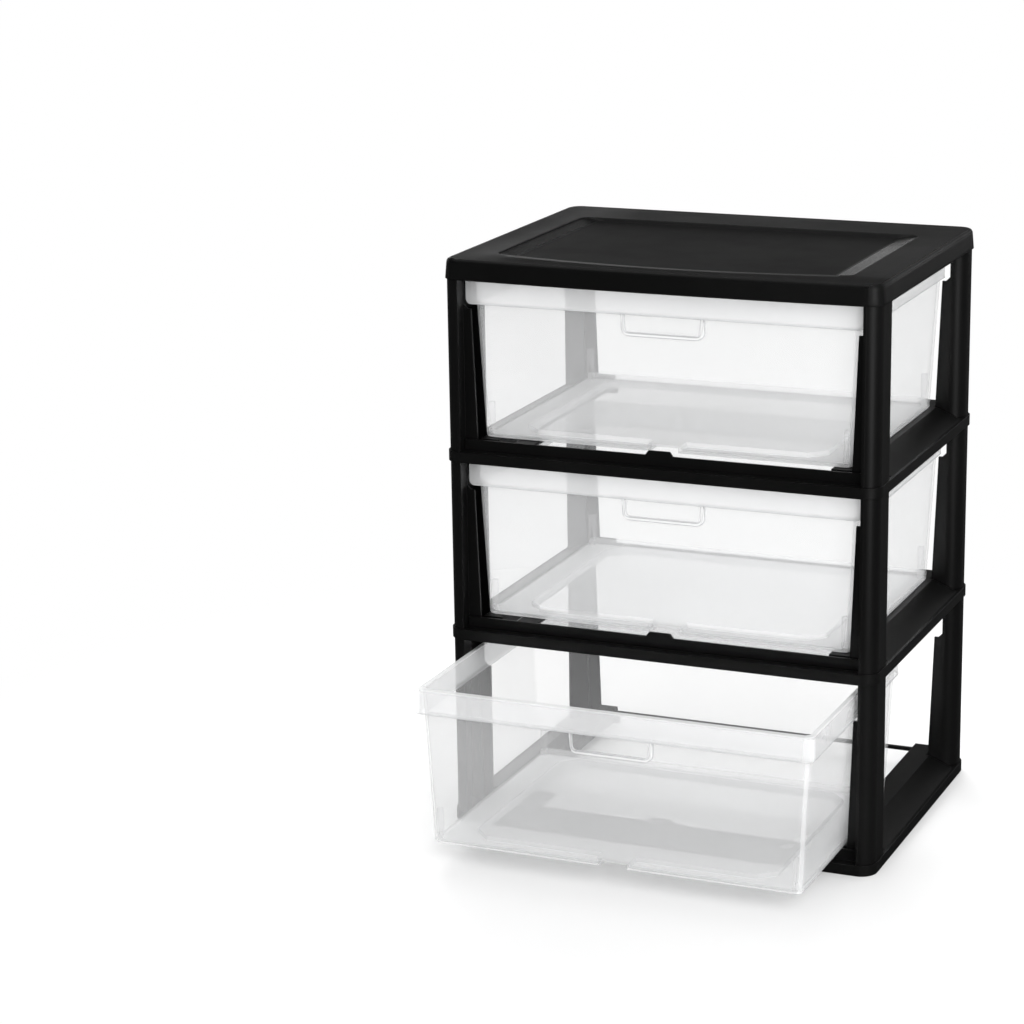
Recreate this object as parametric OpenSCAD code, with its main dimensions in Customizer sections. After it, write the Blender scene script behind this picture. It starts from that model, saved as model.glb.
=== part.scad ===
// Three-drawer tower: a cover, two open shelves and a base, held apart by twelve corner
// posts that plug into them, with three clear drawers that slide out over the front rails.
// X runs across the front, Y runs back and Z is up. The origin is in the middle of the
// underside of the base's front rail.

/* [Tower] */
// Width over the bands of the shelves
tower_w = 392; // [340:1:460]
// Depth over the bands of the shelves
tower_d = 298; // [270:1:360]
// Outside corner radius of the bands
corner_r = 15; // [12:0.5:18]
// Height of a tier, from one shelf to the next
tier_pitch = 161; // [140:0.5:190]
// Extra height of the lowest tier
low_tier_extra = 9.5; // [0:0.5:20]

/* [Cover] */
// Height of the cover
cover_h = 17.5; // [15:0.5:22]
// How far the middle of the cover's front bows forward
cover_bow = 4.5; // [0:0.5:8]
// Moulded wall of the cover
cover_wall = 2.4; // [1.8:0.1:3]
// Width of the deck around the recess, at the sides
deck_side = 37; // [30:1:50]
// Width of the deck behind the recess
deck_rear = 61; // [44:1:70]
// Width of the deck in front of the recess, at its ends
deck_front = 38; // [36:1:60]
// How far the recess's front edge bows forward
recess_bow = 15.5; // [5:0.5:20]
// Depth of the recess
recess_depth = 2.5; // [1.5:0.5:6]
// Width of the long bevels at the recess's sides
recess_bevel = 17; // [8:1:22]

/* [Shelves and base] */
// Height of the outer band
band_h = 9.3; // [8.5:0.1:12]
// Moulded wall of the shelves and the base
shelf_wall = 2.4; // [1.8:0.1:3]
// Depth of the front rail
rail_d = 12.8; // [11:0.1:14.5]
// Height of the runners over the underside of the band
runner_h = 19; // [16:0.5:23]
// Inner edge of a runner, in from the side of the band
runner_in = 46; // [42:1:52]
// Outer edge of a runner, in from the side of the band
runner_out = 25; // [24:0.5:30]
// Width of the drawer stop on the front rail
stop_w = 23; // [15:1:40]
// Height of the drawer stop over the rail
stop_h = 4; // [2.5:0.1:4.5]
// Distance between the ribs under the rails
rib_pitch = 42; // [30:1:60]

/* [Posts] */
// Moulded wall of a post
post_wall = 2.6; // [2:0.1:3.2]
// How far the posts stand in from the bands
post_inset = 1.5; // [0.5:0.1:1.8]
// Width of a front post's column, seen from the front
column_w = 14; // [13.8:0.1:17]
// Depth of a front post
front_post_d = 43; // [36:0.5:48]
// Outer radius of a front post's rear corner
flange_r = 10; // [8:0.5:11]
// Depth of a rear post
rear_post_d = 32; // [30:0.5:36]
// How much a post's wings widen from their top to their foot
wing_flare = 5.5; // [0:0.1:6.5]
// Depth of the plug at a post's foot
foot_plug = 4.4; // [3:0.1:4.8]
// Depth of the plug at a post's top
top_plug = 2.8; // [2:0.1:3.2]

/* [Drawers] */
// Thickness of a drawer's walls and floor
drawer_wall = 2; // [1.5:0.1:2.5]
// Height of the rim
rim_h = 21.5; // [16:0.5:28]
// How far the rim stands out from the walls
rim_out = 2.7; // [2.4:0.1:4]
// Thickness of the turned-down rim
rim_wall = 1.6; // [1.2:0.1:1.8]
// How far the ends of the front rim stand out past the side rims
ear_out = 1.8; // [1:0.1:4]
// How much narrower a drawer's foot is than its top, on each side
side_draft = 7.5; // [4:0.1:8.5]
// How much a drawer's front and back lean in towards its foot
end_draft = 2.5; // [0:0.1:5]
// How far the front wall lies behind the rim
front_step = 5; // [3:0.1:7]
// Radius of the upright corners
drawer_r = 7; // [4:0.5:10]
// How far the closed rim lies behind the front of the bands
rim_set_back = 15; // [13:0.1:18]
// Room behind a closed drawer's rim
rear_room = 29; // [24:1:60]
// Width of the finger pull
pull_w = 75; // [50:1:120]
// Height of the finger pull
pull_h = 19; // [12:0.5:30]
// Width of the finger pull's bead
pull_bead = 2.6; // [1.8:0.1:4]
// Height of the small ribs in the lower corners
corner_rib_h = 31; // [15:1:60]
// How far the lowest drawer is pulled out
low_drawer_open = 125; // [0:1:200]

/* [Clearances] */
// Running clearance under a drawer
run_gap = 0.3; // [0.3:0.05:0.6]
// Clearance over a drawer's rim
head_gap = 1.7; // [1:0.1:4]
// Clearance beside the ends of the front rim
ear_gap = 2; // [1:0.1:4]
// Clearance between a post's wings and the drawer's wall
wing_gap = 1.8; // [1.6:0.1:4]
// Clearance between a front post's inner flange and the drawer's wall
flange_gap = 1.2; // [0.8:0.1:4]
// Clearance around a post's plug
plug_gap = 0.25; // [0.15:0.05:0.4]

/* [Hidden] */
$fn = 48;
eps = 0.01;
black = [0.09, 0.09, 0.10];
clear = [0.90, 0.93, 0.95, 0.55];

// Levels
lower_shelf_z = low_tier_extra + tier_pitch;
upper_shelf_z = lower_shelf_z + tier_pitch;
cover_z = upper_shelf_z + tier_pitch;

// Plan of the tower
half_w = tower_w / 2;
front_y = -rail_d / 2;
rear_y = front_y + tower_d;

// Shelves
runner_y0 = front_y + rail_d + shelf_wall + 2.2;
runner_y1 = rear_y - post_inset - post_wall - 3;
tie_d = 4;
tie_h = 3;
tie_z = runner_h - 7;
socket_wall = 3;
block_w = 30;
glide_w = 19;
glide_x = 115;
glide_y1 = front_y + 48;
slope_y0 = front_y + post_inset + front_post_d + 1;
slope_y1 = rear_y - post_inset - rear_post_d - 1;
rib_t = 1.8;

// Posts
post_r = corner_r - post_inset;
post_end_t = 2;
plug_step = 0.3;
plug_short = 2;
wing_v = rail_d + 0.8 - post_inset;
notch_h = rim_h + head_gap + 4;
notch_z = tier_pitch - band_h - notch_h;
notch_slope = 4;
reach = 60;

// Drawers: heights are measured from the drawer's own underside
drawer_h = tier_pitch - runner_h - run_gap - head_gap;
ear_half = half_w - post_inset - column_w - ear_gap;
rim_half = ear_half - ear_out;
top_half = rim_half - rim_out;
foot_half = top_half - side_draft;
rim_front = front_y + rim_set_back;
rim_rear = rear_y - rear_room;
web_t = 2;
floor_round = 2;
panel_lift = stop_h + 0.6;
panel_half_w = half_w - runner_in - 13;
panel_margin = 16;
panel_corner = 14;
tunnel_half = stop_w / 2 + 1.5;
roof_half = tunnel_half + drawer_wall;
function drawer_half(z) = foot_half + side_draft * z / drawer_h;
function drawer_front(z) = rim_front + front_step + end_draft * (1 - z / drawer_h);
function drawer_rear(z) = rim_rear - rim_out - end_draft * (1 - z / drawer_h) * 2;

// ---- Lofted shells ----

// Points of a quarter circle that starts at angle a
function arc(cx, cy, r, a, n = 6) =
    [for (i = [0:n]) let (t = a + 90 * i / n) [cx + r * cos(t), cy + r * sin(t)]];

// A rectangle with round corners, whose front edge may bow forward, counter-clockwise from above
function outline(half, y0, y1, r, bow = 0) =
    let (steps = 10, run = half - r)
    concat(
        arc(-run, y0 + r, r, 180),
        [for (i = [1:steps - 1]) let (s = 2 * i / steps - 1) [s * run, y0 - bow * (1 - s * s)]],
        arc(run, y0 + r, r, 270),
        arc(run, y1 - r, r, 0),
        arc(-run, y1 - r, r, 90));

// Skins a row of [height, outline] sections and closes both ends
module loft(sections) {
    n = len(sections[0][1]);
    last = len(sections) - 1;
    skin = [for (k = [0:last - 1], i = [0:n - 1])
        let (a = k * n + i, b = k * n + (i + 1) % n, c = b + n, d = a + n)
        each [[a, d, c], [a, c, b]]];
    polyhedron(
        points = [for (s = sections, p = s[1]) [p[0], p[1], s[0]]],
        faces = concat([[for (i = [0:n - 1]) i]], skin, [[for (i = [n - 1:-1:0]) last * n + i]]));
}

// ---- Posts ----

// Section of a corner, with u running in from the side and v in from the end face
module corner_section(grow, side_len, face_len, r) {
    translate([-grow, r])
        square([post_wall + 2 * grow, side_len - r]);
    translate([r, -grow])
        square([face_len - r + grow, post_wall + 2 * grow]);
    intersection() {
        translate([-grow, -grow])
            square(r + grow);
        translate([r, r])
            difference() {
                circle(r + grow);
                circle(r - post_wall - grow);
            }
    }
}

// The two halves of a channel that is open to the inside of the tower
module channel_section(grow, depth, face_len, rear_len, rear_r) {
    corner_section(grow, depth / 2 + eps, face_len, post_r);
    translate([0, depth])
        mirror([0, 1])
            corner_section(grow, depth / 2 + eps, rear_len, rear_r);
}

module rear_post_section(grow, wing_len) {
    channel_section(grow, rear_post_d, wing_len, wing_len, post_r);
}

// A front post's channel: its front, its side, its inner flange and a return beside the rim
module front_channel_section(grow, flange_len) {
    channel_section(grow, front_post_d, column_w, flange_len, flange_r);
    translate([column_w - post_wall - grow, -grow])
        square([post_wall + 2 * grow, wing_v + post_wall + 2 * grow]);
}

// The wing of a front post, which stands back behind its front
module front_wing_section(grow, wing_len) {
    translate([column_w - post_wall - grow, wing_v - grow])
        square([wing_len - column_w + post_wall + 2 * grow, post_wall + 2 * grow]);
}

// Distance from a post's outer side in to the edge of its wings
notch_reach = half_w - post_inset - drawer_half(drawer_h - notch_h + head_gap);
wing_top_len = notch_reach - wing_gap;
wing_foot_len = wing_top_len + wing_flare;
flange_len = notch_reach - flange_gap;
notch_u = half_w - post_inset - ear_half - ear_gap;

// Web that fills a post's column behind its round corner
module column_end(depth) {
    inside = post_wall - eps;
    translate([inside, post_r])
        square([column_w - inside - eps, depth - post_r]);
    intersection() {
        translate([post_r, post_r])
            circle(post_r - inside);
        square([column_w - eps, post_r + eps]);
    }
}

// Keeps what lies inside a line that leans from one length at the foot to another at the top
module lean(h, foot_len, top_len) {
    rotate([90, 0, 0])
        translate([0, 0, -reach])
            linear_extrude(2 * reach)
                polygon([[-1, -1], [foot_len, -1], [foot_len, 0],
                    [top_len, h], [top_len, h + 1], [-1, h + 1]]);
}

// Cut for the drawer's rim through a flange or wing whose front face lies at v
module rim_notch(h, v) {
    translate([0, v + post_wall / 2, 0])
        rotate([90, 0, 0])
            linear_extrude(2 * post_wall, center = true)
                polygon([[notch_u, h + 1], [notch_u, notch_z + notch_slope],
                    [notch_u + notch_slope, notch_z], [reach, notch_z], [reach, h + 1]]);
}

// Plugs: the section of the wall a little thinner all round, and shorter at its ends
module front_top_plug(h, gap = 0) {
    linear_extrude(h)
        front_channel_section(gap - plug_step, notch_u - plug_short + gap);
}

module front_foot_plug(h, gap = 0) {
    linear_extrude(h) {
        front_channel_section(gap - plug_step, flange_len - plug_short + gap);
        front_wing_section(gap - plug_step, wing_foot_len - plug_short + gap);
    }
}

module rear_plug(wing_len, h, gap = 0) {
    linear_extrude(h)
        rear_post_section(gap - plug_step, wing_len - plug_short + gap);
}

module front_post(h) {
    difference() {
        union() {
            linear_extrude(h)
                front_channel_section(0, flange_len);
            intersection() {
                linear_extrude(h)
                    front_wing_section(0, wing_foot_len);
                lean(h, wing_foot_len, wing_top_len);
            }
        }
        for (v = [wing_v, front_post_d - post_wall])
            rim_notch(h, v);
    }
    // Webs inside the column
    for (z = [0, h - post_end_t])
        translate([0, 0, z])
            linear_extrude(post_end_t)
                column_end(wing_v + post_wall);
    translate([0, 0, -foot_plug])
        front_foot_plug(foot_plug + eps);
    translate([0, 0, h - eps])
        front_top_plug(top_plug + eps);
}

module rear_post(h) {
    difference() {
        intersection() {
            linear_extrude(h)
                rear_post_section(0, wing_foot_len);
            lean(h, wing_foot_len, wing_top_len);
        }
        rim_notch(h, rear_post_d - post_wall);
    }
    // Webs inside the channel
    for (z = [0, h / 3, 2 * h / 3, h - post_end_t], end = [0, 1])
        translate([0, end * rear_post_d, z])
            mirror([0, end, 0])
                linear_extrude(post_end_t)
                    column_end(rear_post_d / 2 + eps);
    translate([0, 0, -foot_plug])
        rear_plug(wing_foot_len, foot_plug + eps);
    translate([0, 0, h - eps])
        rear_plug(notch_u, top_plug + eps);
}

// Puts a part drawn from its corner's outer side and end face at one corner of the tower
module at_corner(side, end, inset = post_inset) {
    x = side * (half_w - inset);
    y = end < 0 ? front_y + inset : rear_y - inset;
    translate([x, y, 0])
        scale([-side, -end, 1])
            children();
}

module post(side, end, z, h) {
    color(black)
        translate([0, 0, z + band_h])
            at_corner(side, end)
                if (end < 0) front_post(h - band_h);
                else rear_post(h - band_h);
}

// ---- Shelves and base ----

module plan(inset = 0) {
    w = tower_w - 2 * inset;
    d = tower_d - 2 * inset;
    r = corner_r - inset;
    translate([-w / 2, front_y + inset]) {
        translate([r, 0]) square([w - 2 * r, d]);
        translate([0, r]) square([w, d - 2 * r]);
        for (x = [r, w - r], y = [r, d - r])
            translate([x, y]) circle(r);
    }
}

// The space between the rails, open to the rear
module between_rails() {
    translate([-(half_w - runner_in), front_y + rail_d])
        square([tower_w - 2 * runner_in, tower_d]);
}

// A solid block at each corner, which takes the posts' plugs
module corner_blocks(h, inset) {
    intersection() {
        linear_extrude(h)
            plan(inset);
        for (side = [-1, 1], end = [-1, 1])
            let (post_d = end < 0 ? front_post_d : rear_post_d)
                at_corner(side, end, 0)
                    cube([block_w, post_inset + post_d + socket_wall, h]);
    }
}

// The seats of the posts that stand on this shelf
module foot_seats() {
    for (side = [-1, 1]) {
        at_corner(side, -1)
            front_foot_plug(band_h, plug_gap);
        at_corner(side, 1)
            rear_plug(wing_foot_len, band_h, plug_gap);
    }
}

// The seats of the posts that reach up into a shelf or the cover
module top_seats() {
    translate([0, 0, top_plug + plug_gap - band_h])
        for (side = [-1, 1]) {
            at_corner(side, -1)
                front_top_plug(band_h, plug_gap);
            at_corner(side, 1)
                rear_plug(notch_u, band_h, plug_gap);
        }
}

// Section of a side rail behind its band: a slope up to the runner and the runner's inner lip
module side_rail_section() {
    x_out = half_w - shelf_wall;
    x_run = half_w - runner_out;
    x_in = half_w - runner_in;
    polygon([[x_out + eps, band_h - shelf_wall], [x_out + eps, band_h],
        [x_run, runner_h], [x_in, runner_h],
        [x_in, band_h - shelf_wall], [x_in + shelf_wall, band_h - shelf_wall],
        [x_in + shelf_wall, runner_h - shelf_wall], [x_run - 0.6, runner_h - shelf_wall]]);
}

// Section of the runner where it passes inside the posts
module runner_end_section() {
    x_run = half_w - post_inset - wing_foot_len - 1;
    x_in = half_w - runner_in;
    difference() {
        translate([x_in, band_h - shelf_wall])
            square([x_run - x_in, runner_h - band_h + shelf_wall]);
        translate([x_in + shelf_wall, band_h - shelf_wall - eps])
            square([x_run - x_in - 2 * shelf_wall, runner_h - band_h + eps]);
    }
}

// Draws a section in X and Z along Y
module along_y(y0, y1) {
    translate([0, y1, 0])
        rotate([90, 0, 0])
            linear_extrude(y1 - y0)
                children();
}

module side_rail() {
    along_y(slope_y0, slope_y1)
        side_rail_section();
    along_y(runner_y0, runner_y1)
        runner_end_section();
    ribs = floor((slope_y1 - slope_y0) / rib_pitch);
    for (i = [0:ribs])
        translate([0, slope_y0 + (slope_y1 - slope_y0 - rib_t) * i / ribs, 0])
            along_y(0, rib_t)
                polygon([[half_w - shelf_wall, 1], [half_w - shelf_wall, band_h - eps],
                    [half_w - runner_out, runner_h - eps], [half_w - runner_in + eps, runner_h - eps],
                    [half_w - runner_in + eps, band_h]]);
}

module front_rail() {
    rise_half = half_w - post_inset - column_w - 0.5;
    stop_low = stop_w / 2 + 1;
    stop_high = stop_w / 2 - 2;
    // Upright face with the drawer stop in its middle
    translate([0, front_y + rail_d, 0])
        rotate([90, 0, 0])
            linear_extrude(shelf_wall)
                polygon([[-rise_half, band_h - shelf_wall], [rise_half, band_h - shelf_wall],
                    [rise_half, runner_h], [stop_low, runner_h], [stop_high, runner_h + stop_h],
                    [-stop_high, runner_h + stop_h], [-stop_low, runner_h], [-rise_half, runner_h]]);
    ribs = floor((tower_w - 2 * runner_in) / rib_pitch);
    for (i = [0:ribs])
        translate([runner_in - half_w + (tower_w - 2 * runner_in - rib_t) * i / ribs, front_y + eps, 1])
            cube([rib_t, rail_d - 2 * eps, band_h - 1 - eps]);
}

module shelf_frame() {
    difference() {
        union() {
            // Outer band
            linear_extrude(band_h)
                difference() {
                    plan();
                    plan(shelf_wall);
                    between_rails();
                }
            // Flat top between the band and the upright faces
            translate([0, 0, band_h - shelf_wall])
                linear_extrude(shelf_wall)
                    difference() {
                        plan();
                        between_rails();
                        translate([shelf_wall - half_w, slope_y0 + eps])
                            square([tower_w - 2 * shelf_wall, slope_y1 - slope_y0 - 2 * eps]);
                    }
            corner_blocks(band_h, eps);
            front_rail();
            for (side = [0, 1])
                mirror([side, 0, 0])
                    side_rail();
            // Thin tie between the ends of the runners
            translate([runner_in - half_w - shelf_wall, runner_y1 - tie_d, tie_z])
                cube([tower_w - 2 * runner_in + 2 * shelf_wall, tie_d, tie_h]);
            // Glide that carries the drawer's front corner
            translate([-glide_x - glide_w, front_y + rail_d - eps, runner_h - shelf_wall])
                cube([glide_w, glide_y1 - front_y - rail_d, shelf_wall]);
        }
        translate([0, 0, band_h - foot_plug - plug_gap])
            foot_seats();
    }
}

module shelf(z) {
    color(black)
        translate([0, 0, z])
            difference() {
                shelf_frame();
                top_seats();
            }
}

module base_frame() {
    foot_w = 60;
    color(black) {
        shelf_frame();
        translate([-foot_w / 2, front_y + eps, 0])
            cube([foot_w, rail_d - 2 * eps, band_h - eps]);
    }
}

// ---- Cover ----

function cover_outline(inset) =
    outline(half_w - inset, front_y + inset, rear_y - inset, corner_r - inset, cover_bow);
function recess_outline(side_in, end_in, r) =
    outline(half_w - deck_side - side_in, front_y + deck_front + end_in,
        rear_y - deck_rear - end_in, r, recess_bow);

module top_cover() {
    edge_r = 4;
    draft = 1.2;
    floor_z = cover_h - recess_depth;
    rib_d = 5;
    rib_z = floor_z - cover_wall - rib_d;
    rib_step = (half_w - deck_side - recess_bevel) / 2.2;
    sections = concat(
        [[floor_z - cover_wall, recess_outline(recess_bevel, -1, 4)],
         [cover_h - cover_wall, recess_outline(0, -2.2, 9)],
         [cover_h - cover_wall, cover_outline(cover_wall + draft + 0.6)],
         [0, cover_outline(cover_wall)],
         [0, cover_outline(0)]],
        [for (a = [0:22.5:90])
            [cover_h - edge_r * (1 - sin(a)), cover_outline(draft + (edge_r - 0.6) * (1 - cos(a)))]],
        [[cover_h, recess_outline(-0.8, -0.8, 9)],
         [cover_h - 0.5, recess_outline(0, 0, 8)],
         [floor_z, recess_outline(recess_bevel, 1.5, 4)]]);
    color(black)
        translate([0, 0, cover_z])
            difference() {
                union() {
                    loft(sections);
                    // Sockets for the posts, under the deck
                    corner_blocks(cover_h - cover_wall + eps, cover_wall + draft);
                    // Stiffening ribs under the panel
                    for (i = [-2:2])
                        translate([i * rib_step - rib_t / 2, front_y + cover_wall + 1, rib_z])
                            cube([rib_t, tower_d - 2 * cover_wall - 2, rib_d + eps]);
                }
                top_seats();
            }
}

// ---- Drawers ----

function rim_outline(inset) =
    outline(rim_half - inset, rim_front + inset, rim_rear - inset, drawer_r + rim_out - inset);
function wall_outline(z, inset) =
    outline(drawer_half(z) - inset, drawer_front(z) + inset, drawer_rear(z) - inset, drawer_r - inset);

// Wall, floor and turned-down rim as one skin, from under the floor to its top
module drawer_shell() {
    under_web = drawer_h - web_t;
    loft([
        [0, wall_outline(0, floor_round)],
        [0.6, wall_outline(0.6, 0.6)],
        [floor_round, wall_outline(floor_round, 0)],
        [under_web, wall_outline(under_web, 0)],
        [under_web, rim_outline(rim_wall)],
        [drawer_h - rim_h, rim_outline(rim_wall - 0.4)],
        [drawer_h - rim_h, rim_outline(0)],
        [drawer_h - 0.8, rim_outline(0)],
        [drawer_h, rim_outline(0.8)],
        [drawer_h, wall_outline(drawer_h, drawer_wall - 0.6)],
        [drawer_h - 0.6, wall_outline(drawer_h - 0.6, drawer_wall)],
        [drawer_wall + 2.5, wall_outline(drawer_wall + 2.5, drawer_wall)],
        [drawer_wall + 0.7, wall_outline(drawer_wall + 0.7, drawer_wall + 0.8)],
        [drawer_wall, wall_outline(drawer_wall, drawer_wall + 2.5)]]);
}

// Raised middle of the floor, with its corners cut off
module floor_panel(grow) {
    w = panel_half_w + grow;
    y0 = drawer_front(0) + panel_margin - grow;
    y1 = drawer_rear(0) - panel_margin + grow;
    c = panel_corner;
    polygon([[-w + c, y0], [w - c, y0], [w, y0 + c], [w, y1 - c],
        [w - c, y1], [-w + c, y1], [-w, y1 - c], [-w, y0 + c]]);
}

// The front rim carries on past the sides as two ears with round lower corners
module front_fascia() {
    r = 5;
    translate([0, rim_front + rim_wall + 0.3, drawer_h - rim_h])
        rotate([90, 0, 0])
            linear_extrude(rim_wall + 0.3)
                union() {
                    for (side = [-1, 1])
                        translate([side * (ear_half - r), r])
                            circle(r);
                    translate([r - ear_half, 0])
                        square([2 * (ear_half - r), rim_h - 0.8]);
                    translate([-ear_half, r])
                        square([2 * ear_half, rim_h - r - 0.8]);
                }
}

// U-shaped bead that hangs from the rim, to pull by
module pull_outline(inset) {
    r = 6 - inset;
    lean_in = 2;
    w = pull_w / 2 - inset;
    h = pull_h - inset;
    union() {
        for (side = [-1, 1])
            translate([side * (w - lean_in - r), r - h])
                circle(r);
        translate([-(w - lean_in - r), -h])
            square([2 * (w - lean_in - r), r + 1]);
        polygon([[-w, 1], [-w + lean_in, r - h], [w - lean_in, r - h], [w, 1]]);
    }
}

module finger_pull() {
    z = drawer_h - rim_h;
    translate([0, drawer_front(z - pull_h) + 0.8, z])
        rotate([90, 0, 0])
            linear_extrude(drawer_front(z - pull_h) - drawer_front(z) + 2.6)
                difference() {
                    pull_outline(0);
                    pull_outline(pull_bead);
                }
}

// Small upright ribs in the lower corners
module corner_ribs() {
    t = 5;
    for (side = [-1, 1]) {
        x = side * (drawer_half(0) - drawer_wall - 3.5);
        for (y = [drawer_front(0) + drawer_wall + 2.5, drawer_rear(0) - drawer_wall - 2.5])
            translate([x - t / 2, y - t / 2, drawer_wall - eps])
                cube([t, t, corner_rib_h - drawer_wall]);
    }
}

module drawer(z, open) {
    color(clear)
        translate([0, -open, z + runner_h + run_gap])
            difference() {
                union() {
                    drawer_shell();
                    front_fascia();
                    finger_pull();
                    corner_ribs();
                    linear_extrude(panel_lift + drawer_wall)
                        floor_panel(0);
                    // Roof over the way of the stop
                    translate([-roof_half, drawer_front(drawer_wall) + 0.5, drawer_wall - 1])
                        cube([2 * roof_half, panel_margin, panel_lift + 1]);
                }
                translate([0, 0, -1])
                    linear_extrude(panel_lift + 1)
                        floor_panel(-drawer_wall);
                translate([-tunnel_half, drawer_front(0) - 5, -1])
                    cube([2 * tunnel_half, panel_margin + 5 + drawer_wall + 1, panel_lift + 1]);
            }
}

top_cover();
shelf(upper_shelf_z);  // upper_shelf
shelf(lower_shelf_z);  // lower_shelf
base_frame();
post(-1, -1, upper_shelf_z, tier_pitch);  // top_front_left_post
post(1, -1, upper_shelf_z, tier_pitch);  // top_front_right_post
post(-1, 1, upper_shelf_z, tier_pitch);  // top_rear_left_post
post(1, 1, upper_shelf_z, tier_pitch);  // top_rear_right_post
post(-1, -1, lower_shelf_z, tier_pitch);  // middle_front_left_post
post(1, -1, lower_shelf_z, tier_pitch);  // middle_front_right_post
post(-1, 1, lower_shelf_z, tier_pitch);  // middle_rear_left_post
post(1, 1, lower_shelf_z, tier_pitch);  // middle_rear_right_post
post(-1, -1, 0, lower_shelf_z);  // bottom_front_left_post
post(1, -1, 0, lower_shelf_z);  // bottom_front_right_post
post(-1, 1, 0, lower_shelf_z);  // bottom_rear_left_post
post(1, 1, 0, lower_shelf_z);  // bottom_rear_right_post
drawer(upper_shelf_z, 0);  // top_drawer
drawer(lower_shelf_z, 0);  // middle_drawer
drawer(0, low_drawer_open);  // bottom_drawer
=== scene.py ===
"""Dresses the three-drawer tower: satin black frame, clear milky drawers, white studio.

Lengths are in metres and in the part's own frame: X across the front, Y to the back, Z up.
"""

import math

import bpy
from mathutils import Matrix, Vector

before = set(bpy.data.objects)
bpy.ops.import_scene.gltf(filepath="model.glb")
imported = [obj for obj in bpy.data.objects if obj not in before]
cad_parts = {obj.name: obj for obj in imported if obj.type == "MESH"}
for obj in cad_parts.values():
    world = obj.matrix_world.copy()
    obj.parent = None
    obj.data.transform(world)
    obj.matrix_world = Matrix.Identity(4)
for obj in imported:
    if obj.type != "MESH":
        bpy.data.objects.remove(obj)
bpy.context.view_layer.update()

# ---- Places on the tower ----
# Where each drawer's own zero lies: drawn out by -Y, with its underside at Z
DRAWER_LIFT = 0.0193
DRAWER_PLACES = {
    "top_drawer": (0.0, 0.3315 + DRAWER_LIFT),
    "middle_drawer": (0.0, 0.1705 + DRAWER_LIFT),
    "bottom_drawer": (-0.125, DRAWER_LIFT),
}
# A drawer, from its own zero
DRAWER_HEIGHT = 0.140
FOOT_HALF_WIDTH = 0.1665
SIDE_DRAFT = 0.0075
FRONT_AT_RIM = 0.0136
FRONT_DRAFT = 0.0025
FRONT_WALL_BACK = 0.0165
FLOOR_TOP = 0.0072
RIM_HEIGHT = 0.0215
RIM_FOOT = DRAWER_HEIGHT - RIM_HEIGHT
PULL_WIDTH = 0.075
PULL_HEIGHT = 0.019
# The pull's round corners: how far in their centres lie, and the radius of the bead about them
PULL_INSET = 0.0070
BEAD_RADIUS = 0.0056
# Depths behind a wall's outside, between which it gives way to the inside and a corner ends
WALL_INSIDE = (0.0022, 0.0032)
CORNER_RADIUS = 0.007
CORNER_END = (CORNER_RADIUS - 0.0040, CORNER_RADIUS - 0.0020)
# The recess of the cover
RECESS_Z = 0.5075
RECESS_SLACK = 0.0003
RECESS_HALF_WIDTH = 0.151
RECESS_FRONT = 0.0316
RECESS_BOW = 0.0155

# ---- Black plastic ----
BLACK = 0.0022
DULL_BLACK = 0.0034
RECESS_BLACK = 0.0020
CLOUD_ROUGHNESS = 0.10
STREAK_ROUGHNESS = 0.05
RECESS_ROUGHNESS = 0.12
BEVEL_SMOOTHNESS = 0.16
GRAIN_DEPTH = 0.00005
# How much the deck's shading falls at its front left corner, and bends down at its lip
DECK_FALL = 0.0028
LIP_BEND = 0.0015

# ---- Clear plastic ----
# Paleness of the walls and of the floor, in the shade of the tower and out of it. This is painted
# light: a drawer in the tower's shade is made paler to make up for that shade
PAINTED_PALENESS_IN_SHADE = (0.90, 0.97)
PAINTED_PALENESS_OUT_OF_SHADE = (0.76, 0.90)
PLASTIC_TINT = (0.99, 0.995, 1.0)
SHADE_TINT = (0.97, 0.985, 1.0)
THICK_PALENESS = 0.95
SHADE_PALENESS = 0.42
# Opacity of one face of a drawer, and what each region adds to it
WALL_OPACITY = 0.160
CLOUD_OPACITY = 0.03
EDGE_ON_OPACITY = 0.30
FLOOR_OPACITY = 0.20
RIM_OPACITY = 0.12
LIP_OPACITY = 0.30
FOLD_OPACITY = 0.25
BEAD_OPACITY = 0.32
FOOT_OPACITY = 0.25
CORNER_OPACITY = 0.17
# How far each region's tone goes to that of a thick part, and then to that of a shaded one
RIM_THICKNESS = 0.55
CORNER_THICKNESS = 0.8
FOOT_THICKNESS = 0.8
FOLD_SHADE = 0.55
BEAD_SHADE = 0.90
EDGE_ON_SHADE = 0.55

# ---- Studio ----
FLOOR_HALF = 14.0
FLOOR_DROP = 0.0002
FLOOR_TONE = 0.84
FLOOR_TONE_IN_GLOSS = 0.03
# The floor's own glow for the eye: its middle, its least share, and where it grows to all of it
GLOW_Y = 0.1
GLOW_SHARE = 0.12
GLOW_FROM = 0.30
GLOW_TO = 0.80
# The room on matt surfaces, and what glossy ones see of it
EVEN_LIGHT = 0.88
DIM_ROOM = 0.018
BACK_STRIP = 0.26
LEFT_STRIP = 3.0
LOW_STRIP = 0.8
HIGH_PATCH = 0.35
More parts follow.
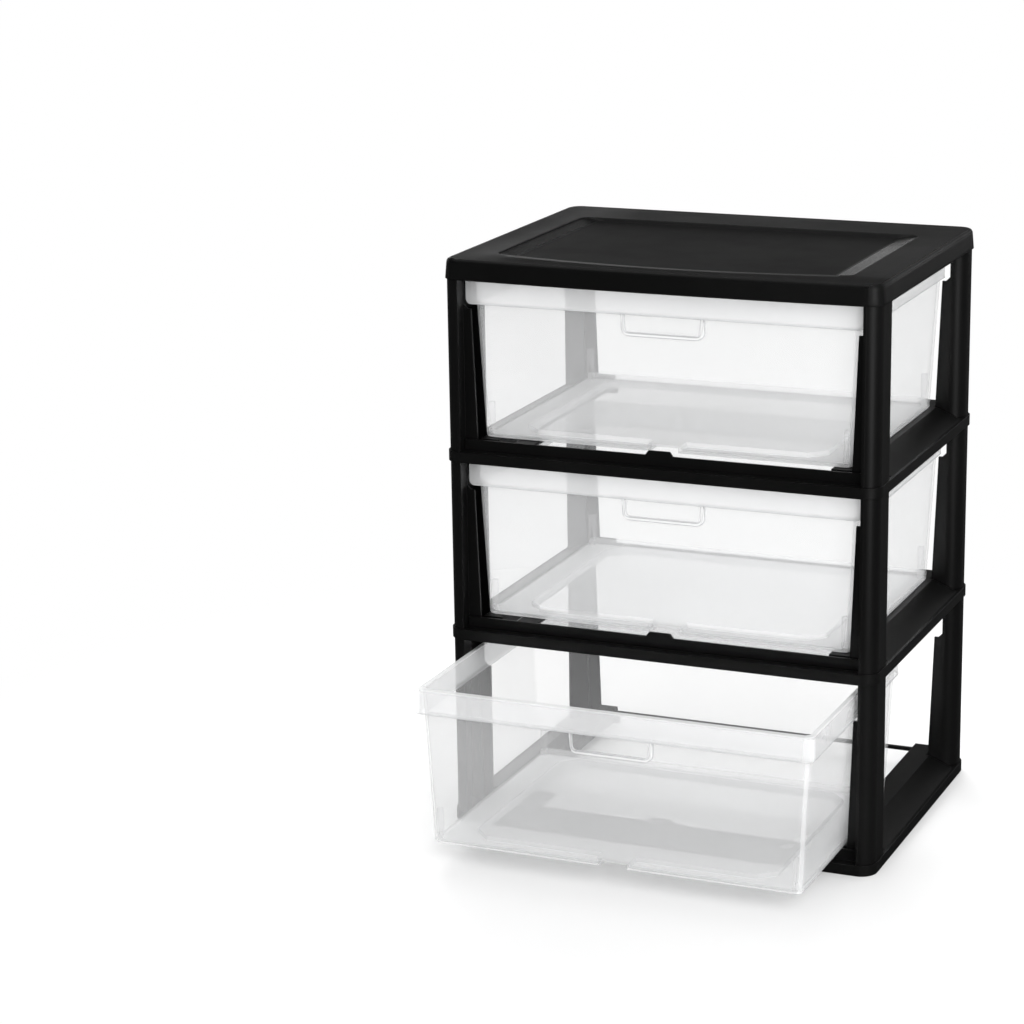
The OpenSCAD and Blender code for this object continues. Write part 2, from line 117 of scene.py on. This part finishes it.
# Each lamp's place, what it faces, its width and height, its radiance, and whether gloss shows it
LAMPS = {
    "overhead": ((-0.5, 0.7, 3.0), (0.0, 0.1, 0.2), (2.6, 2.6), 0.50, True),
    "window": ((1.66, -2.19, 1.79), (0.0, 0.05, 0.25), (2.6, 1.8), 2.3, False),
    "rear": ((-0.9, 2.6, 1.75), (0.0, 0.15, 0.25), (2.6, 1.8), 5.4, False),
    "right_front": ((1.15, -0.85, 0.75), (0.15, 0.0, 0.25), (0.7, 1.6), 1.8, True),
}
CAMERA_PLACE = (0.8756467, -2.3060122, 0.9729845)
CAMERA_YAW = 0.4129
CAMERA_PITCH = 0.2649
CAMERA_ROLL = -0.0168
SENSOR_WIDTH = 36.0
FRAME_PIXELS = 1024
FOCAL_PIXELS = 3007.186


# ---- Shader maths ----
class Sock:
    """A shader socket, or a plain number, that Python's operators work on.

    Each operation adds one node.
    """

    def __init__(self, tree, out):
        self.tree = tree
        self.out = out

    def node(self, kind, settings=(), output=0, **values):
        """Adds a node: its settings first, then values or links for its sockets.

        A socket is given by its name, with underscores for spaces, or by i and its number. Returns
        the output asked for, by name or number, or a tuple of them for a tuple.
        """
        n = self.tree.nodes.new(kind)
        for key, value in dict(settings).items():
            setattr(n, key, value)
        for key, value in values.items():
            numbered = key[0] == "i" and key[1:].isdigit()
            socket = n.inputs[int(key[1:])] if numbered else n.inputs[key.replace("_", " ")]
            if not isinstance(value, Sock):
                socket.default_value = value
            elif isinstance(value.out, (int, float)):
                socket.default_value = value.out
            else:
                self.tree.links.new(value.out, socket)
        if isinstance(output, tuple):
            return tuple(Sock(self.tree, n.outputs[k]) for k in output)
        return Sock(self.tree, n.outputs[output] if n.outputs else None)

    def math(self, operation, *others):
        values = {f"i{k}": v for k, v in enumerate((self,) + others)}
        return self.node("ShaderNodeMath", {"operation": operation}, **values)

    def __add__(self, other):
        return self.math("ADD", other)

    def __mul__(self, other):
        return self.math("MULTIPLY", other)

    def __sub__(self, other):
        return self.math("SUBTRACT", other)

    def __truediv__(self, other):
        return self.math("DIVIDE", other)

    def __rsub__(self, other):
        return Sock(self.tree, float(other)).math("SUBTRACT", self)

    def __gt__(self, other):
        return self.math("GREATER_THAN", other)

    def __lt__(self, other):
        return self.math("LESS_THAN", other)

    def __pow__(self, other):
        return self.math("POWER", other)

    __radd__ = __add__
    __rmul__ = __mul__

    def __abs__(self):
        return self.math("ABSOLUTE")

    def clamp(self, low=0.0, high=1.0):
        return self.math("MAXIMUM", low).math("MINIMUM", high)

    def step(self, low, high):
        """Rises smoothly from 0 at low to 1 at high."""
        return self.node("ShaderNodeMapRange", {"interpolation_type": "SMOOTHSTEP"},
                         Value=self, From_Min=low, From_Max=high, To_Min=0.0, To_Max=1.0)

    def blend(self, a, b):
        """Colour a where this is 0 and colour b where it is 1."""
        return self.node("ShaderNodeMix", {"data_type": "RGBA"}, output=2, i0=self, i6=a, i7=b)


class Finish:
    """A material with its Object coordinates, its patterns and its Principled shader."""

    def __init__(self, name):
        self.material = bpy.data.materials.new(name)
        self.material.use_nodes = True
        tree = self.material.node_tree
        tree.nodes.clear()
        self.maths = Sock(tree, 0.0)
        self.place, normal = self.maths.node("ShaderNodeTexCoord", output=("Object", "Normal"))
        self.x, self.y, self.z = self.maths.node(
            "ShaderNodeSeparateXYZ", output=("X", "Y", "Z"), i0=self.place)
        self.facing_x = self.maths.node("ShaderNodeSeparateXYZ", output="X", i0=normal)

    def noise(self, scale, detail, stretch=(1.0, 1.0, 1.0)):
        """Noise from 0 to 1 on the piece's own coordinates, with scale in waves to the metre."""
        place = self.maths.node("ShaderNodeMapping", i0=self.place, i3=stretch)
        return self.maths.node("ShaderNodeTexNoise", i0=place, Scale=scale, Detail=detail)

    def cells(self, scale):
        """Distance to the nearest of many scattered points, with scale in cells to the metre."""
        return self.maths.node("ShaderNodeTexVoronoi", i0=self.place, Scale=scale)

    def worn_edge(self, radius):
        """Normal that rounds the piece's sharp edges over the radius."""
        return self.maths.node("ShaderNodeBevel", {"samples": 4}, Radius=radius)

    def bump(self, height, distance, strength, normal):
        """Normal bent by a height from 0 to 1, which stands for that much distance."""
        return self.maths.node("ShaderNodeBump", Height=height, Distance=distance,
                               Strength=strength, Normal=normal)

    def surface(self, **values):
        shader = self.maths.node("ShaderNodeBsdfPrincipled", **values)
        self.maths.node("ShaderNodeOutputMaterial", Surface=shader)
        return self.material


def rgba(value, tint=(1.0, 1.0, 1.0)):
    return (value * tint[0], value * tint[1], value * tint[2], 1.0)


# ---- Finishes ----
def satin_black(name, grain=1.0, roughness=0.40, edge=0.0009, deck=False):
    """Moulded black polypropylene: fine spark-eroded grain, faint flow clouds, an uneven sheen.

    With deck, the floor of the recess is duller and its bevel shinier. The deck's shading falls a
    little to the front, and bends down before the recess along its bowed edge.
    """
    f = Finish(name)
    fine = f.noise(2600.0, 2.0)
    pits = f.cells(1500.0)
    clouds = f.noise(9.0, 4.0, (1.0, 1.0, 0.6))
    streaks = f.noise(40.0, 3.0, (1.0, 1.0, 0.08))
    dull = clouds.step(0.35, 0.75)
    rough = roughness + CLOUD_ROUGHNESS * dull + STREAK_ROUGHNESS * (streaks - 0.5)
    rough = rough.clamp(0.2, 0.9)
    colour = dull.blend(rgba(BLACK), rgba(DULL_BLACK))
    normal = f.worn_edge(edge)
    if deck:
        above = f.z > RECESS_Z - RECESS_SLACK
        floor = (f.z < RECESS_Z + RECESS_SLACK) * above
        tilt = abs(f.facing_x)
        bevel = (tilt > 0.05) * (tilt < 0.30) * above
        rough = rough + RECESS_ROUGHNESS * floor - BEVEL_SMOOTHNESS * bevel
        rough = rough.clamp(0.2, 0.95)
        colour = floor.blend(colour, rgba(RECESS_BLACK))
        across = f.x / RECESS_HALF_WIDTH
        behind_lip = f.y - (RECESS_FRONT - RECESS_BOW * (1.0 - across * across))
        crown = f.y.step(-0.012, 0.034) * f.x.step(-0.185, -0.115)
        bend = behind_lip.step(-0.008, 0.001) - behind_lip.step(0.001, 0.009)
        bend = bend * (1.0 - abs(f.x).step(0.146, 0.152))
        normal = f.bump(crown * DECK_FALL - bend * LIP_BEND, 1.0, 1.0, normal)
    normal = f.bump(fine * 0.6 + pits * 0.4, GRAIN_DEPTH * grain, 0.5, normal)
    return f.surface(Base_Color=colour, Roughness=rough, IOR=1.47, Normal=normal)


def milky_clear(name, y0, z0, painted_paleness):
    """Clear polypropylene, a little milky: frosted floor, paler edges, a white bead at the pull.

    y0 and z0 are the drawer's zero, and the last argument is the paleness of its walls and of its
    floor, which is painted light: higher for a drawer in the tower's shade.
    Depths behind the walls follow their draft: how far a wall leans out is its draft times the
    share of the height. The bead's line keeps its radius from the rectangle that joins the
    centres of the pull's corners.
    """
    f = Finish(name)
    off_middle = abs(f.x)
    y = f.y - y0
    z = f.z - z0
    clouds = f.noise(12.0, 3.0)
    ripple = f.noise(30.0, 2.0, (1.0, 1.0, 0.35))
    frost = f.noise(900.0, 2.0)
    facing = f.maths.node("ShaderNodeLayerWeight", output="Facing", Blend=0.35)
    # Depths behind the outsides of the side and front walls
    share = z / DRAWER_HEIGHT
    from_side = FOOT_HALF_WIDTH + SIDE_DRAFT * share - off_middle
    from_front = y - (FRONT_AT_RIM + FRONT_DRAFT * (1.0 - share))
    # Masks of the drawer's own regions
    within = from_side.step(*WALL_INSIDE) * from_front.step(*WALL_INSIDE)
    floor = (1.0 - z.step(FLOOR_TOP, FLOOR_TOP + 0.0012)) * within
    foot = 1.0 - z.step(0.0016, 0.0030)
    corner = (1.0 - from_side.step(*CORNER_END)) * (1.0 - from_front.step(*CORNER_END))
    rim = z.step(RIM_FOOT - 0.0004, RIM_FOOT + 0.0004)
    lip = z.step(DRAWER_HEIGHT - 0.0012, DRAWER_HEIGHT - 0.0004)
    fold = 1.0 - abs(z - RIM_FOOT).step(0.0005, 0.0013)
    # The bead that outlines the pull, and its two edges
    across = (off_middle - (PULL_WIDTH / 2 - PULL_INSET)).math("MAXIMUM", 0.0)
    down = (RIM_FOOT - PULL_HEIGHT + PULL_INSET - z).math("MAXIMUM", 0.0)
    off_bead = abs((across * across + down * down).math("SQRT") - BEAD_RADIUS)
    below_rim = (1.0 - rim) * (y < FRONT_WALL_BACK)
    bead = (1.0 - off_bead.step(0.0012, 0.0019)) * below_rim
    bead_edge = bead * off_bead.step(0.0006, 0.0010)
    # Opacity of one face
    alpha = WALL_OPACITY + CLOUD_OPACITY * (clouds - 0.5) + EDGE_ON_OPACITY * facing ** 2.2
    alpha = alpha + FLOOR_OPACITY * floor + RIM_OPACITY * rim + LIP_OPACITY * lip
    alpha = alpha + FOLD_OPACITY * fold + BEAD_OPACITY * bead + FOOT_OPACITY * foot
    alpha = (alpha + CORNER_OPACITY * corner * (1.0 - rim)).clamp(0.05, 0.96)
    # Tone
    thick = RIM_THICKNESS * rim + CORNER_THICKNESS * corner + FOOT_THICKNESS * foot + bead
    shade = FOLD_SHADE * fold + BEAD_SHADE * bead_edge + EDGE_ON_SHADE * facing ** 3.0
    # Walls and floor take the given paleness, lifted as painted light where the tower shades them.
    # The floor is paler partly for its frost and partly as painted light.
    pale = floor.blend(rgba(painted_paleness[0], PLASTIC_TINT), rgba(painted_paleness[1], PLASTIC_TINT))
    pale = thick.clamp().blend(pale, rgba(THICK_PALENESS, PLASTIC_TINT))
    colour = shade.clamp().blend(pale, rgba(SHADE_PALENESS, SHADE_TINT))
    rough = 0.15 + 0.06 * clouds + 0.08 * floor
    height = ripple + 0.02 * floor * frost
    return f.surface(Base_Color=colour, Roughness=rough, IOR=1.49, Alpha=alpha,
                     Normal=f.bump(height, 0.0004, 0.3, f.worn_edge(0.0007)))


frame_black = satin_black("frame_black")
post_black = satin_black("post_black", grain=0.8, roughness=0.36)
cover_black = satin_black("cover_black", grain=1.2, roughness=0.38, edge=0.0030, deck=True)

for name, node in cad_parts.items():
    if name in DRAWER_PLACES:
        y0, z0 = DRAWER_PLACES[name]
        # Painted light: drawers in the tower's shade take the paler copy of the plastic, and the
        # drawn-out one takes the darker copy.
        finish = milky_clear(name + "_clear", y0, z0, PAINTED_PALENESS_OUT_OF_SHADE if y0 < 0 else PAINTED_PALENESS_IN_SHADE)
    elif name == "top_cover":
        finish = cover_black
    elif name.endswith("_post"):
        finish = post_black
    else:
        finish = frame_black
    node.data.materials.clear()
    node.data.materials.append(finish)


# ---- Studio ----
def studio_floor():
    """White floor that keeps its shadows, lifted a little for the eye and dark in gloss."""
    mesh = bpy.data.meshes.new("floor")
    h = FLOOR_HALF
    corners = [(-h, -h), (h, -h), (h, h), (-h, h)]
    mesh.from_pydata([(x, y, -FLOOR_DROP) for x, y in corners], [], [(0, 1, 2, 3)])
    floor = bpy.data.objects.new("floor", mesh)
    bpy.context.scene.collection.objects.link(floor)
    f = Finish("floor_white")
    m = f.maths
    seen, glossy = m.node("ShaderNodeLightPath", output=("Is Camera Ray", "Is Glossy Ray"))
    away = (f.x * f.x + (f.y - GLOW_Y) * (f.y - GLOW_Y)).math("SQRT")
    shaded = m.node("ShaderNodeBsdfDiffuse", Color=rgba(FLOOR_TONE))
    plain_white = m.node("ShaderNodeEmission", Color=rgba(1.0), Strength=1.0)
    share = GLOW_SHARE + (1.0 - GLOW_SHARE) * away.step(GLOW_FROM, GLOW_TO)
    lifted = m.node("ShaderNodeMixShader", i0=share, i1=shaded, i2=plain_white)
    dim = m.node("ShaderNodeBsdfDiffuse", Color=rgba(FLOOR_TONE_IN_GLOSS))
    plain = m.node("ShaderNodeMixShader", i0=seen, i1=shaded, i2=lifted)
    whole = m.node("ShaderNodeMixShader", i0=glossy, i1=plain, i2=dim)
    m.node("ShaderNodeOutputMaterial", Surface=whole)
    floor.data.materials.append(f.material)


def studio_world():
    """White to the eye and even on matt surfaces.

    Glossy ones see a dim room, with a bright strip low at the back that is brightest to the left,
    and a faint patch above it to the right.
    """
    world = bpy.data.worlds.new("studio")
    bpy.context.scene.world = world
    world.use_nodes = True
    tree = world.node_tree
    tree.nodes.clear()
    m = Sock(tree, 0.0)
    seen, glossy = m.node("ShaderNodeLightPath", output=("Is Camera Ray", "Is Glossy Ray"))
    direction = m.node("ShaderNodeTexCoord", output="Generated")
    x, y, z = m.node("ShaderNodeSeparateXYZ", output=("X", "Y", "Z"), i0=direction)
    behind = y.step(0.2, 0.9)
    back = behind * (1.0 - z.step(0.02, 0.22))
    low = behind * (1.0 - z.step(0.06, 0.14))
    left = (0.0 - x).step(0.34, 0.60)
    high = behind * x.step(-0.20, 0.05) * z.step(0.18, 0.30) * (1.0 - z.step(0.45, 0.60))
    shine = DIM_ROOM + BACK_STRIP * back + LEFT_STRIP * back * left
    shine = shine + LOW_STRIP * low + HIGH_PATCH * high
    strength = seen + (1.0 - seen) * (glossy * shine + (1.0 - glossy) * EVEN_LIGHT)
    glow = m.node("ShaderNodeBackground", Color=rgba(1.0), Strength=strength)
    m.node("ShaderNodeOutputWorld", Surface=glow)


def soft_box(name, place, aim, size, radiance, mirrored):
    """A rectangular lamp of even brightness that lights and may be mirrored, but isn't seen."""
    lamp = bpy.data.lights.new(name, "AREA")
    lamp.shape = "RECTANGLE"
    lamp.size, lamp.size_y = size
    lamp.energy = radiance * math.pi * size[0] * size[1]
    light = bpy.data.objects.new(name, lamp)
    bpy.context.scene.collection.objects.link(light)
    light.location = place
    light.rotation_euler = (Vector(aim) - Vector(place)).to_track_quat("-Z", "Y").to_euler()
    light.visible_camera = False
    light.visible_glossy = mirrored


def camera():
    """The tower seen from the front, from its right and from above its cover."""
    yaw, pitch, roll = CAMERA_YAW, CAMERA_PITCH, CAMERA_ROLL
    forward = Vector((-math.sin(yaw) * math.cos(pitch),
                      math.cos(yaw) * math.cos(pitch),
                      -math.sin(pitch)))
    level = Vector((math.cos(yaw), math.sin(yaw), 0.0))
    upright = level.cross(forward)
    right = math.cos(roll) * level + math.sin(roll) * upright
    up = math.cos(roll) * upright - math.sin(roll) * level
    lens = bpy.data.cameras.new("camera")
    lens.sensor_width = SENSOR_WIDTH
    lens.lens = SENSOR_WIDTH * FOCAL_PIXELS / FRAME_PIXELS
    lens.clip_end = 60.0
    eye = bpy.data.objects.new("camera", lens)
    bpy.context.scene.collection.objects.link(eye)
    turn = Matrix((right, up, -forward)).transposed().to_4x4()
    eye.matrix_world = Matrix.Translation(Vector(CAMERA_PLACE)) @ turn
    bpy.context.scene.camera = eye


studio_floor()
studio_world()
for name, lamp in LAMPS.items():
    soft_box(name, *lamp)
camera()
scene = bpy.context.scene
scene.view_settings.view_transform = "Standard"
scene.cycles.transparent_max_bounces = 48
